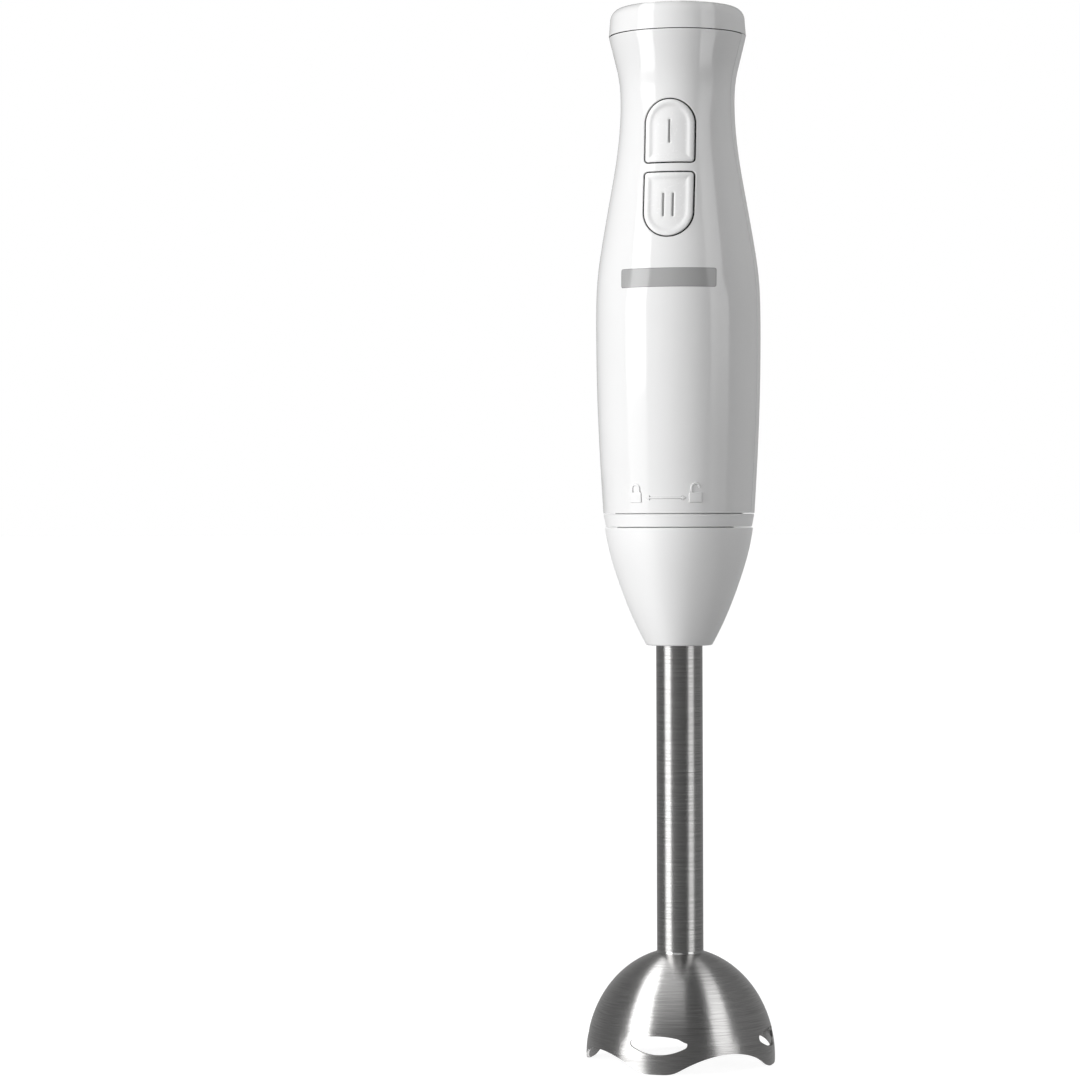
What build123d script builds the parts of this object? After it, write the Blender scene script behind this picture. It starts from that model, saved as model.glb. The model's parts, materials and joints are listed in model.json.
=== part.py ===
from build123d import *
from math import acos, atan2, cos, radians, sin, sqrt
import os

# Immersion blender, standing upright on its bell.
# Millimetres. The origin is on the axis in the plane the bell stands on, +Z is up
# towards the cap, and the buttons face -Y.

os.makedirs("parts", exist_ok=True)

# ---------------------------------------------------------------- driving sizes
TOTAL_HEIGHT = 373.3
CAP_BOTTOM = 363.4          # parting line between cap and housing
HOUSING_BOTTOM = 194.5      # parting line between housing and lock collar
CONE_TOP = 189.4            # parting line between lock collar and foot
CONE_BOTTOM = 147.7
BELL_TOP = 38.8             # where the shaft tube meets the bell

FRONT = -90.0               # the front's direction about the axis, in degrees
FAR = 60.0                  # longer than any radius of the blender
PARTING_GAP = 0.25          # running gap at the collar's two parting lines
SEAM_Y = -5.3               # plane of the seam between the two handle shells
SEAM_GAP = 0.12
WALL = 2.4                  # moulded wall of the handle
SCREW_RADIUS = 1.4
SCREW_HEAD = 2.7

TUBE_RADIUS = 8.25
TUBE_WALL = 0.8
SHAFT_RADIUS = 3.0
BUSH_BORE = SHAFT_RADIUS + 0.05

BELL_RADIUS = 33.5
BELL_HEIGHT = 38.0          # height of the bell's elliptic dome above its skirt
BELL_SKIRT = 2.0
BELL_WALL = 1.0
LOBE_TURN = FRONT - 6.2     # direction of the first of the bell's four lobes
SCALLOP_RADIUS = 32.0
SCALLOP_HEIGHT = 6.6
SCALLOP_CORNER = 8.0
WINDOW_CHORD = 23.9
WINDOW_ENDS = 10.7          # height of a window's two pointed ends
WINDOW_TOP = 13.1
WINDOW_BOTTOM = 6.7
WINDOW_END_RADIUS = 1.4

BUTTON_WIDTH = 17.2
BUTTON_CORNER = 1.1
BUTTON_GAP = 0.3
BUTTONS = {                 # lower end, upper end, whether the round end is on top
    "high": (317.0, 339.1, True),
    "low": (290.9, 313.3, False),
}

LUGS = 3
LUG_HALF_ANGLE = 10.0
LUG_TIP = 21.5
LUG_BOTTOM = 203.0
LUG_TOP = 205.0
TWIST = 45.0                # turn from unlocked to locked
NECK_RADIUS = 19.4
NECK_BORE = 17.0
NECK_TOP = 209.0
KEY_TIP = 22.9              # the neck's ribs that key the collar to the foot

MOTOR_SHAFT_RADIUS = 2.5
STACK_BOTTOM = 232.0        # the motor's laminated stack
STACK_TOP = 262.0
ARMATURE_RADIUS = 12.6
POLE_BORE = 13.1
COMMUTATOR_RADIUS = 8.0
COMMUTATOR_BOTTOM = 269.0
COMMUTATOR_TOP = 281.0
BRUSH_HEIGHT = 275.0
LOWER_PLATE = 219.0
UPPER_PLATE = 283.0
MOTOR_SCREW_Y = 22.5

BOARD_FRONT = -6.6          # front face of the control board
PLUNGER_TIP = 15.3          # how far in front of the axis the switch plungers end
BOARD_THICKNESS = 1.6
BOARD_SCREW_X = 11.0
BOARD_SCREW_HEIGHT = 315.2
NAMEPLATE_HEIGHT = 276.4
NAMEPLATE_SIZE = (33.2, 6.4)
NAMEPLATE_CORNER = 0.6
CORD_BORE = 3.6
CLAMP_HEIGHT = 353.0
CLAMP_SCREW_X = 8.0

# The handle's side, as (radius, height), from the collar up to the cap.
HANDLE_SIDE = [
    (26.8, HOUSING_BOTTOM), (28.0, 215.0), (28.9, 238.0), (29.15, 260.0),
    (28.6, 277.6), (26.6, 291.8), (24.1, 306.0), (21.7, 320.2), (20.2, 338.0),
    (20.8, 348.6), (22.4, 355.7), (24.25, CAP_BOTTOM),
]

# The foot's cone, as (radius, height), from its lower lip up to the collar.
CONE_SIDE = [
    (11.7, CONE_BOTTOM), (16.3, 156.9), (21.8, 171.1), (25.2, 183.0), (26.25, CONE_TOP),
]


# ---------------------------------------------------------------- shared shapes
def outline(*points):
    """A closed straight-sided section of (radius, height) points."""
    with BuildSketch(Plane.XZ) as shape:
        with BuildLine():
            Polyline(*points, close=True)
        make_face()
    return shape.sketch


def ring(inner, outer, low, high):
    """The section of a plain ring about the axis."""
    return outline((inner, low), (outer, low), (outer, high), (inner, high))


def under_curve(side, inset):
    """The section between the axis and a curved side moved in by inset."""
    moved = [(r - inset, z) for r, z in side]
    with BuildSketch(Plane.XZ) as shape:
        with BuildLine():
            Spline(*moved)
            Polyline(moved[-1], (0, moved[-1][1]), (0, moved[0][1]), moved[0])
        make_face()
    return shape.sketch


def handle_solid(inset):
    """The handle's whole volume, moved in from its outer skin by inset."""
    with BuildPart() as solid:
        revolve(under_curve(HANDLE_SIDE, inset), axis=Axis.Z)
    return solid.part


def handle_layer(outer_inset, inner_inset):
    """A skin between two depths under the handle's outer surface."""
    return handle_solid(outer_inset) - handle_solid(inner_inset)


def sector(inner, outer, half_angle, centre):
    """A piece of a flat ring between two radii, half_angle each side of centre."""
    with BuildSketch() as shape:
        with BuildLine():
            start, end = centre - half_angle, centre + half_angle
            CenterArc((0, 0), inner, start, end - start)
            CenterArc((0, 0), outer, start, end - start)
            for angle in (start, end):
                way = (cos(radians(angle)), sin(radians(angle)))
                Line((inner * way[0], inner * way[1]), (outer * way[0], outer * way[1]))
        make_face()
    return shape.sketch


def sector_block(inner, outer, half_angle, centre, low, high):
    """A ring segment as a solid between two heights."""
    return extrude(Pos(0, 0, low) * sector(inner, outer, half_angle, centre), high - low)


def button_outline(button, grow):
    """A button's front view, one end flat and one half round, grown all round."""
    low, high, arch_on_top = BUTTONS[button]
    radius = BUTTON_WIDTH / 2
    middle = high - radius if arch_on_top else low + radius
    flat_end = low if arch_on_top else high
    with BuildSketch(Plane.XZ) as shape:
        with Locations((0, (flat_end + middle) / 2)):
            Rectangle(BUTTON_WIDTH, abs(middle - flat_end))
        fillet(shape.vertices().filter_by(lambda v: abs(v.Y - flat_end) < 0.01), BUTTON_CORNER)
        with Locations((0, middle)):
            Circle(radius)
        if grow:
            offset(amount=grow)
    return shape.sketch


def button_middle(button):
    """The height of a button's centre."""
    return (BUTTONS[button][0] + BUTTONS[button][1]) / 2


def dome_points(radius, height, stop_radius):
    """Points on the bell's elliptic dome, from its skirt up to where it is stop_radius wide."""
    last = acos(stop_radius / radius)
    steps = [last * step / 8 for step in range(9)]
    return [(radius * cos(angle), BELL_SKIRT + height * sin(angle)) for angle in steps]


def export(piece, name):
    """Label a finished piece and write its STEP file."""
    piece.part.label = name
    export_step(piece.part, f"parts/{name}.step")


# ================================================================ handle shells
board_posts = [(x, BOARD_SCREW_HEIGHT, BOARD_FRONT + BOARD_THICKNESS)
               for x in (-BOARD_SCREW_X, BOARD_SCREW_X)]
clamp_posts = [(x, CLAMP_HEIGHT, 3.6) for x in (-CLAMP_SCREW_X, CLAMP_SCREW_X)]

with BuildPart() as front_housing:
    add(handle_layer(0, WALL))
    split(bisect_by=Plane.XZ.offset(-SEAM_Y + SEAM_GAP / 2), keep=Keep.TOP)
    for button in BUTTONS:
        extrude(button_outline(button, BUTTON_GAP), FAR, mode=Mode.SUBTRACT)
    mouths = front_housing.edges().filter_by(
        lambda e: abs(e.center().X) < 9.5 and e.center().Z > 285 and e.center().Y < -15
        and e.bounding_box().size.Z < 24)
    skin = handle_solid(0.4)
    fillet(mouths.filter_by(lambda e: not skin.is_inside(e.center())), 0.5)
    with BuildSketch(Plane.XZ) as plate_recess:
        with Locations((0, NAMEPLATE_HEIGHT)):
            RectangleRounded(NAMEPLATE_SIZE[0] + 0.2, NAMEPLATE_SIZE[1] + 0.2, NAMEPLATE_CORNER + 0.1)
    plate_cut = extrude(amount=FAR, mode=Mode.PRIVATE)
    add(plate_cut & handle_layer(-1.0, 0.5), mode=Mode.SUBTRACT)
export(front_housing, "front_housing")

with BuildPart() as rear_core:
    add(handle_solid(WALL))
    for x, z, y in board_posts + clamp_posts:
        with BuildSketch(Plane.XZ.offset(-y)):
            with Locations((x, z)):
                Circle(3.0)
        extrude(amount=-FAR, mode=Mode.SUBTRACT)
with BuildPart() as rear_housing:
    add(handle_solid(0))
    add(rear_core.part, mode=Mode.SUBTRACT)
    split(bisect_by=Plane.XZ.offset(-SEAM_Y - SEAM_GAP / 2), keep=Keep.BOTTOM)
    for x, z, y in board_posts + clamp_posts:
        with BuildSketch(Plane.XZ.offset(-y)):
            with Locations((x, z)):
                Circle(SCREW_RADIUS)
        extrude(amount=-9.0, mode=Mode.SUBTRACT)
export(rear_housing, "rear_housing")

with BuildPart() as nameplate:
    with BuildSketch(Plane.XZ):
        with Locations((0, NAMEPLATE_HEIGHT)):
            RectangleRounded(*NAMEPLATE_SIZE, NAMEPLATE_CORNER)
    extrude(amount=FAR)
    add(handle_layer(-0.05, 0.5), mode=Mode.INTERSECT)
export(nameplate, "nameplate")

# ---------------------------------------------------------------- buttons
for button in BUTTONS:
    middle = button_middle(button)
    with BuildPart() as key:
        extrude(button_outline(button, 0), FAR)
        add(handle_layer(-0.1, WALL + 1.4), mode=Mode.INTERSECT)
        rim = extrude(button_outline(button, -2.3), FAR, mode=Mode.PRIVATE)
        add(rim & handle_layer(-1.0, 0.35), mode=Mode.SUBTRACT)
        flange = extrude(button_outline(button, BUTTON_GAP + 1.2), FAR, mode=Mode.PRIVATE)
        add(flange & handle_layer(WALL + 0.2, WALL + 1.4))
        with BuildSketch(Plane.XZ.offset(PLUNGER_TIP)) as post:
            with Locations((0, middle)):
                Circle(2.2)
        push_post = extrude(post.sketch, FAR, mode=Mode.PRIVATE)
        add(push_post & handle_solid(WALL + 0.6))
    export(key, f"button_{button}")

# ---------------------------------------------------------------- top_cap
CAP_RADIUS = 24.3
with BuildPart() as top_cap:
    with BuildSketch(Plane.XZ):
        with BuildLine():
            wall = Polyline((CAP_RADIUS - 2.6, CAP_BOTTOM + 0.1), (CAP_RADIUS, CAP_BOTTOM + 0.1),
                            (CAP_RADIUS - 0.5, TOTAL_HEIGHT - 3.7))
            corner = TangentArc(wall @ 1, (CAP_RADIUS - 4.2, TOTAL_HEIGHT), tangent=(-0.13, 1))
            Polyline(corner @ 1, (6.4, TOTAL_HEIGHT), (6.4, TOTAL_HEIGHT - 2.4),
                     (CAP_RADIUS - 4.6, TOTAL_HEIGHT - 2.4), (18.2, TOTAL_HEIGHT - 4.6),
                     (18.2, 357.0), (20.0, 357.0), (20.0, CAP_BOTTOM + 0.1),
                     (CAP_RADIUS - 2.6, CAP_BOTTOM + 0.1))
        make_face()
    revolve(axis=Axis.Z)
export(top_cap, "top_cap")

with BuildPart() as cord_gland:
    revolve(outline((CORD_BORE, 361.0), (5.4, 361.0), (6.3, 366.5), (9.0, 366.5), (9.0, 370.6),
                    (6.3, 370.6), (6.3, TOTAL_HEIGHT - 0.3), (CORD_BORE + 0.6, TOTAL_HEIGHT - 0.3),
                    (CORD_BORE, TOTAL_HEIGHT - 0.9)), axis=Axis.Z)
export(cord_gland, "cord_gland")

with BuildPart() as cord_clamp:
    with BuildSketch(Plane.XY.offset(CLAMP_HEIGHT - 3.0)):
        with Locations((0, 1.6)):
            RectangleRounded(22.0, 4.0, 1.5)
        with Locations((0, 4.6)):
            Circle(3.3, mode=Mode.SUBTRACT)
    extrude(amount=6.0)
    with BuildSketch(Plane.XZ.offset(1.0)):
        with Locations((-CLAMP_SCREW_X, CLAMP_HEIGHT), (CLAMP_SCREW_X, CLAMP_HEIGHT)):
            Circle(SCREW_RADIUS)
    extrude(amount=-6.0, mode=Mode.SUBTRACT)
export(cord_clamp, "cord_clamp")


def screws(places, seat, length, name):
    """Pan-head screws driven towards +Y, their heads resting at y = seat."""
    with BuildPart() as group:
        with BuildSketch(Plane.XZ.offset(-seat)):
            with Locations(*places):
                Circle(SCREW_HEAD)
        extrude(amount=1.8)
        fillet(group.edges().group_by(Axis.Y)[0], 0.7)
        with BuildSketch(Plane.XZ.offset(-seat)):
            with Locations(*places):
                Circle(SCREW_RADIUS)
        extrude(amount=-length)
        with BuildSketch(Plane.XZ.offset(-seat + 1.8)):
            with Locations(*places):
                Rectangle(2.6, 0.6)
                Rectangle(0.6, 2.6)
        extrude(amount=-1.0, mode=Mode.SUBTRACT)
    export(group, name)


screws([(x, z) for x, z, y in clamp_posts], -0.4, 11.0, "clamp_screws")
screws([(x, z) for x, z, y in board_posts], BOARD_FRONT, 9.0, "board_screws")

# ================================================================ electronics
with BuildPart() as control_board:
    with BuildSketch(Plane.XZ.offset(-BOARD_FRONT)):
        with Locations((0, 319.0)):
            RectangleRounded(28.0, 54.0, 1.5)
        with Locations((-BOARD_SCREW_X, BOARD_SCREW_HEIGHT), (BOARD_SCREW_X, BOARD_SCREW_HEIGHT)):
            Circle(SCREW_RADIUS, mode=Mode.SUBTRACT)
    extrude(amount=-BOARD_THICKNESS)
export(control_board, "control_board")

SWITCH_FRONT = -12.6
for button in BUTTONS:
    middle = button_middle(button)
    with BuildPart() as switch_body:
        with BuildSketch(Plane.XZ.offset(-BOARD_FRONT)):
            with Locations((0, middle)):
                RectangleRounded(12.8, 6.6, 0.5)
        extrude(amount=BOARD_FRONT - SWITCH_FRONT)
        with BuildSketch(Plane.XZ.offset(-SWITCH_FRONT)):
            with Locations((0, middle)):
                Circle(1.3)
        extrude(amount=-4.4, mode=Mode.SUBTRACT)
    export(switch_body, f"switch_{button}")
    with BuildPart() as plunger:
        with BuildSketch(Plane.XZ.offset(PLUNGER_TIP)):
            with Locations((0, middle)):
                Circle(1.2)
        extrude(amount=-3.8)
        fillet(plunger.edges().group_by(Axis.Y)[-1], 0.4)
    export(plunger, f"switch_plunger_{button}")

BOARD_BACK = BOARD_FRONT + BOARD_THICKNESS
with BuildPart() as suppression_capacitor:
    with BuildSketch(Plane.XZ.offset(-BOARD_BACK)):
        with Locations((0, 331.0)):
            RectangleRounded(18.0, 14.0, 1.0)
    extrude(amount=-8.0)
    fillet(suppression_capacitor.edges().group_by(Axis.Y)[-1], 0.8)
export(suppression_capacitor, "suppression_capacitor")

with BuildPart() as choke_coils:
    with BuildSketch(Plane.XY.offset(297.0)):
        with Locations((-8.5, BOARD_BACK + 4.2), (8.5, BOARD_BACK + 4.2)):
            Circle(4.2)
            Circle(1.2, mode=Mode.SUBTRACT)
    extrude(amount=15.0)
    for turn in range(9):
        with BuildSketch(Plane.XY.offset(298.5 + 1.4 * turn)):
            with Locations((-8.5, BOARD_BACK + 4.2), (8.5, BOARD_BACK + 4.2)):
                Circle(4.4)
                Circle(3.9, mode=Mode.SUBTRACT)
        extrude(amount=0.5, mode=Mode.SUBTRACT)
export(choke_coils, "choke_coils")

with BuildPart() as speed_diode:
    with BuildSketch(Plane.YZ.offset(-4.7)):
        with Locations((BOARD_BACK + 2.7, BOARD_SCREW_HEIGHT)):
            Circle(2.7)
    extrude(amount=9.4)
    chamfer(speed_diode.edges().filter_by(GeomType.CIRCLE), 0.4)
export(speed_diode, "speed_diode")

with BuildPart() as cord_terminals:
    with BuildSketch(Plane.XZ.offset(-BOARD_BACK)):
        with Locations((0, 342.6)):
            Rectangle(14.0, 6.0)
    extrude(amount=-7.0)
    with BuildSketch(Plane.XY.offset(345.6)):
        with Locations((-3.6, BOARD_BACK + 3.5), (3.6, BOARD_BACK + 3.5)):
            Circle(1.6)
    extrude(amount=-4.0, mode=Mode.SUBTRACT)
export(cord_terminals, "cord_terminals")

# ================================================================ motor
BEARING_RADIUS = 8.0


def motor_plate(low, thick, hub_low, hub_high, seats):
    """A motor end plate with a bearing hub, screw holes and optional brush seats."""
    with BuildPart() as plate:
        revolve(ring(0, 24.8, low, low + thick), axis=Axis.Z)
        revolve(ring(0, 10.0, hub_low, hub_high), axis=Axis.Z)
        if seats:
            with BuildSketch(Plane.XY.offset(low)):
                with Locations((0, -15.0), (0, 15.0)):
                    Rectangle(9.0, 9.0)
            extrude(amount=-(low - BRUSH_HEIGHT - 3.6))
        revolve(ring(0, BEARING_RADIUS, low, low + 5.0), axis=Axis.Z, mode=Mode.SUBTRACT)
        revolve(ring(0, 5.0, hub_low, hub_high), axis=Axis.Z, mode=Mode.SUBTRACT)
        with BuildSketch(Plane.XY.offset(low)):
            with Locations((0, -MOTOR_SCREW_Y), (0, MOTOR_SCREW_Y)):
                Circle(1.5)
            with PolarLocations(16.5, 2):
                RectangleRounded(7.0, 16.0, 2.0)
        extrude(amount=thick, mode=Mode.SUBTRACT)
    return plate


lower_bracket = motor_plate(LOWER_PLATE, 4.0, LOWER_PLATE - 2.4, LOWER_PLATE + 5.0, False)
export(lower_bracket, "lower_bracket")
upper_bracket = motor_plate(UPPER_PLATE, 3.5, UPPER_PLATE, UPPER_PLATE + 6.0, True)
export(upper_bracket, "upper_bracket")

for name, low in (("lower_bearing", LOWER_PLATE), ("upper_bearing", UPPER_PLATE)):
    with BuildPart() as bearing:
        revolve(ring(MOTOR_SHAFT_RADIUS + 0.03, BEARING_RADIUS, low, low + 5.0), axis=Axis.Z)
        for face in (low, low + 4.4):
            revolve(ring(4.0, 6.6, face, face + 0.6), axis=Axis.Z, mode=Mode.SUBTRACT)
    export(bearing, name)

with BuildPart() as motor_mount:
    revolve(ring(20.5, 24.3, 216.2, LOWER_PLATE), axis=Axis.Z)
    with PolarLocations(22.4, 8):
        Cylinder(1.0, 400.0, mode=Mode.SUBTRACT)
export(motor_mount, "motor_mount")

with BuildPart() as motor_screws:
    with BuildSketch(Plane.XY.offset(LOWER_PLATE + 0.2)):
        with Locations((0, -MOTOR_SCREW_Y), (0, MOTOR_SCREW_Y)):
            Circle(1.5)
    extrude(amount=UPPER_PLATE + 3.5 - LOWER_PLATE - 0.2)
    with BuildSketch(Plane.XY.offset(UPPER_PLATE + 3.5)):
        with Locations((0, -MOTOR_SCREW_Y + 0.3), (0, MOTOR_SCREW_Y - 0.3)):
            Circle(2.3)
            Rectangle(0.7, 3.2, mode=Mode.SUBTRACT)
    extrude(amount=1.6)
    with BuildSketch(Plane.XY.offset(UPPER_PLATE + 3.5)):
        with Locations((0, -MOTOR_SCREW_Y + 0.3), (0, MOTOR_SCREW_Y - 0.3)):
            Circle(2.3)
    extrude(amount=0.6)
export(motor_screws, "motor_screws")

with BuildPart() as stator_core:
    with BuildSketch(Plane.XY.offset(STACK_BOTTOM)):
        RectangleRounded(46.0, 41.0, 13.0)
        RectangleRounded(38.0, 33.0, 9.0, mode=Mode.SUBTRACT)
        for side in (0, 180):
            add(sector(POLE_BORE, POLE_BORE + 2.5, 58.0, side))
            with Locations(Location((0, 0, 0), side)):
                with Locations((17.2, 0)):
                    Rectangle(4.4, 12.0)
    extrude(amount=STACK_TOP - STACK_BOTTOM)
export(stator_core, "stator_core")

with BuildPart() as field_coils:
    for side in (-1, 1):
        with BuildSketch(Plane.YZ.offset(side * 15.9)):
            with Locations((0, (STACK_BOTTOM + STACK_TOP) / 2)):
                RectangleRounded(17.8, STACK_TOP - STACK_BOTTOM + 9.0, 3.0)
                Rectangle(12.2, STACK_TOP - STACK_BOTTOM + 0.4, mode=Mode.SUBTRACT)
        extrude(amount=side * 2.8)
export(field_coils, "field_coils")

with BuildPart() as armature_core:
    revolve(ring(MOTOR_SHAFT_RADIUS, ARMATURE_RADIUS, STACK_BOTTOM, STACK_TOP), axis=Axis.Z)
    with BuildSketch(Plane.XY.offset(STACK_BOTTOM)):
        with PolarLocations(ARMATURE_RADIUS, 12):
            Rectangle(1.6, 1.4)
        with PolarLocations(9.4, 12):
            SlotOverall(5.2, 2.8)
    extrude(amount=STACK_TOP - STACK_BOTTOM, mode=Mode.SUBTRACT)
export(armature_core, "armature_core")

with BuildPart() as armature_windings:
    with BuildSketch(Plane.XZ):
        with Locations((7.4, STACK_BOTTOM - 3.0), (7.4, STACK_TOP + 3.0)):
            RectangleRounded(8.8, 5.8, 2.4)
    revolve(axis=Axis.Z)
    with BuildSketch(Plane.XY.offset(STACK_BOTTOM - 0.5)):
        with PolarLocations(9.4, 12):
            SlotOverall(5.0, 2.6)
    extrude(amount=STACK_TOP - STACK_BOTTOM + 1.0)
export(armature_windings, "armature_windings")

with BuildPart() as commutator:
    revolve(outline((MOTOR_SHAFT_RADIUS, COMMUTATOR_BOTTOM), (COMMUTATOR_RADIUS + 1.2, COMMUTATOR_BOTTOM),
                    (COMMUTATOR_RADIUS + 1.2, COMMUTATOR_BOTTOM + 1.6),
                    (COMMUTATOR_RADIUS, COMMUTATOR_BOTTOM + 2.0), (COMMUTATOR_RADIUS, COMMUTATOR_TOP),
                    (MOTOR_SHAFT_RADIUS, COMMUTATOR_TOP)), axis=Axis.Z)
    with BuildSketch(Plane.XY.offset(COMMUTATOR_BOTTOM)):
        with PolarLocations(COMMUTATOR_RADIUS + 0.6, 24):
            Rectangle(3.0, 0.4)
    extrude(amount=COMMUTATOR_TOP - COMMUTATOR_BOTTOM, mode=Mode.SUBTRACT)
export(commutator, "commutator")

with BuildPart() as carbon_brushes:
    with BuildSketch(Plane.XZ):
        with Locations((0, BRUSH_HEIGHT)):
            Rectangle(4.8, 6.0)
    extrude(amount=16.0, both=True)
    revolve(ring(0, COMMUTATOR_RADIUS + 0.1, 260.0, 290.0), axis=Axis.Z, mode=Mode.SUBTRACT)
export(carbon_brushes, "carbon_brushes")

with BuildPart() as brush_holders:
    with BuildSketch(Plane.XZ):
        with Locations((0, BRUSH_HEIGHT)):
            Rectangle(6.2, 7.2)
            Rectangle(4.8, 6.0, mode=Mode.SUBTRACT)
    extrude(amount=20.0, both=True)
    revolve(ring(0, 9.6, 260.0, 290.0), axis=Axis.Z, mode=Mode.SUBTRACT)
    with BuildSketch(Plane.XZ.offset(-20.0)):
        with Locations((0, BRUSH_HEIGHT)):
            Rectangle(6.2, 7.2)
    extrude(amount=-0.6)
    with BuildSketch(Plane.XZ.offset(20.0)):
        with Locations((0, BRUSH_HEIGHT)):
            Rectangle(6.2, 7.2)
    extrude(amount=0.6)
export(brush_holders, "brush_holders")

with BuildPart() as brush_springs:
    with BuildSketch(Plane.XZ):
        with Locations((0, BRUSH_HEIGHT)):
            Circle(2.0)
            Circle(1.5, mode=Mode.SUBTRACT)
    extrude(amount=20.0, both=True)
    Box(FAR, 32.0, 800.0, mode=Mode.SUBTRACT)
export(brush_springs, "brush_springs")

with BuildPart() as motor_shaft:
    revolve(outline((0, 205.8), (MOTOR_SHAFT_RADIUS - 0.4, 205.8), (MOTOR_SHAFT_RADIUS, 206.2),
                    (MOTOR_SHAFT_RADIUS, 289.6), (MOTOR_SHAFT_RADIUS - 0.4, 290.0), (0, 290.0)),
            axis=Axis.Z)
export(motor_shaft, "motor_shaft")

# ================================================================ drive coupling
DOG_WIDTH = 2.4
DOG_TURN = 37.5             # the motor's dogs stand this far round from the foot's

with BuildPart() as motor_coupler:
    revolve(ring(10.0, 12.2, 197.0, 207.0), axis=Axis.Z)
    revolve(ring(MOTOR_SHAFT_RADIUS, 12.2, 207.0, 210.0), axis=Axis.Z)
    revolve(ring(MOTOR_SHAFT_RADIUS, 5.0, 210.0, 215.4), axis=Axis.Z)
    with BuildSketch(Plane.XY.offset(197.6)):
        with PolarLocations(7.7, LUGS, start_angle=FRONT + DOG_TURN):
            Rectangle(5.4, DOG_WIDTH)
    extrude(amount=9.6)
export(motor_coupler, "motor_coupler")

with BuildPart() as foot_coupler:
    revolve(outline((SHAFT_RADIUS, 189.5), (7.2, 189.5), (4.2, 194.0), (4.2, 203.2),
                    (SHAFT_RADIUS, 204.4)), axis=Axis.Z)
    with BuildSketch(Plane.XY.offset(194.0)):
        with PolarLocations(5.9, LUGS, start_angle=FRONT):
            Rectangle(5.0, DOG_WIDTH)
    extrude(amount=9.2)
export(foot_coupler, "foot_coupler")

# ================================================================ bayonet
with BuildPart() as bayonet_socket:
    revolve(outline((22.85, 194.8), (24.2, 194.8), (24.2, 216.2), (14.0, 216.2), (14.0, 213.6),
                    (21.8, 213.6), (21.8, 202.8), (19.75, 202.8), (19.75, 200.5), (21.8, 200.5),
                    (21.8, 200.0), (23.35, 200.0), (23.35, 198.1), (22.85, 198.1)), axis=Axis.Z)
    for lug in range(LUGS):
        gap = FRONT + lug * 360 / LUGS
        add(sector_block(19.0, 21.8, LUG_HALF_ANGLE + 3.0, gap, 200.2, 203.0), mode=Mode.SUBTRACT)
        for stop in (gap + LUG_HALF_ANGLE + 4.0, gap - TWIST - LUG_HALF_ANGLE - 4.0):
            add(sector_block(19.75, 22.0, 2.0, stop, 202.7, 206.5))
export(bayonet_socket, "bayonet_socket")

with BuildPart() as lock_collar:
    revolve(outline((21.8, CONE_TOP + PARTING_GAP), (25.6, CONE_TOP + PARTING_GAP),
                    (25.95, CONE_TOP + 0.6), (26.7, HOUSING_BOTTOM - 0.6),
                    (26.4, HOUSING_BOTTOM - PARTING_GAP), (22.6, HOUSING_BOTTOM - PARTING_GAP),
                    (22.6, 198.4), (23.1, 198.6), (23.1, 199.4), (22.6, 199.8), (21.8, 199.8)),
            axis=Axis.Z)
    for key in range(LUGS):
        with BuildSketch(Plane.XY.offset(CONE_TOP)):
            with Locations(Location((0, 0, 0), FRONT + 60 + key * 120)):
                with Locations((21.0, 0)):
                    Rectangle(4.6, 4.6)
        extrude(amount=4.2, mode=Mode.SUBTRACT)
export(lock_collar, "lock_collar")

with BuildPart() as bayonet_neck:
    revolve(outline((TUBE_RADIUS, 160.0), (10.8, 160.0), (10.8, 180.5), (NECK_RADIUS, 183.0),
                    (22.6, 184.4), (22.6, 187.1), (NECK_RADIUS, 187.1), (NECK_RADIUS, NECK_TOP - 0.8),
                    (NECK_RADIUS - 0.8, NECK_TOP), (NECK_BORE, NECK_TOP), (NECK_BORE, 186.5),
                    (6.0, 186.5), (6.0, 182.2), (TUBE_RADIUS, 182.2)), axis=Axis.Z)
    for lug in range(LUGS):
        centre = FRONT + lug * 360 / LUGS
        add(sector_block(NECK_RADIUS - 0.4, LUG_TIP, LUG_HALF_ANGLE, centre, LUG_BOTTOM, LUG_TOP))
        with BuildSketch(Plane.XY.offset(187.1)):
            with Locations(Location((0, 0, 0), centre + 60)):
                with Locations((20.2, 0)):
                    Rectangle(KEY_TIP - 17.9, 4.0)
        extrude(amount=6.3)
    revolve(ring(0, NECK_BORE, 186.5, 200.0), axis=Axis.Z, mode=Mode.SUBTRACT)
export(bayonet_neck, "bayonet_neck")

# ================================================================ foot
with BuildPart() as foot_cone:
    revolve(under_curve(CONE_SIDE, 0), axis=Axis.Z)
    fillet(foot_cone.edges().group_by(Axis.Z)[0], 0.9)
    fillet(foot_cone.edges().group_by(Axis.Z)[-1], 0.35)
    cavity = [(r, z) for r, z in CONE_SIDE if z < 186] + [(25.9, 187.1)]
    revolve(under_curve(cavity, 2.2) & ring(0, FAR, 151.0, 187.1), axis=Axis.Z, mode=Mode.SUBTRACT)
    revolve(ring(0, 9.3, CONE_BOTTOM, 149.6), axis=Axis.Z, mode=Mode.SUBTRACT)
    revolve(ring(0, TUBE_RADIUS, CONE_BOTTOM, 200.0), axis=Axis.Z, mode=Mode.SUBTRACT)
    revolve(ring(0, NECK_RADIUS, 180.0, 200.0), axis=Axis.Z, mode=Mode.SUBTRACT)
    for key in range(LUGS):
        with BuildSketch(Plane.XY.offset(187.1)):
            with Locations(Location((0, 0, 0), FRONT + 60 + key * 120)):
                with Locations((20.2, 0)):
                    Rectangle(KEY_TIP - 17.9, 4.0)
        extrude(amount=4.0, mode=Mode.SUBTRACT)
export(foot_cone, "foot_cone")

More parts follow.
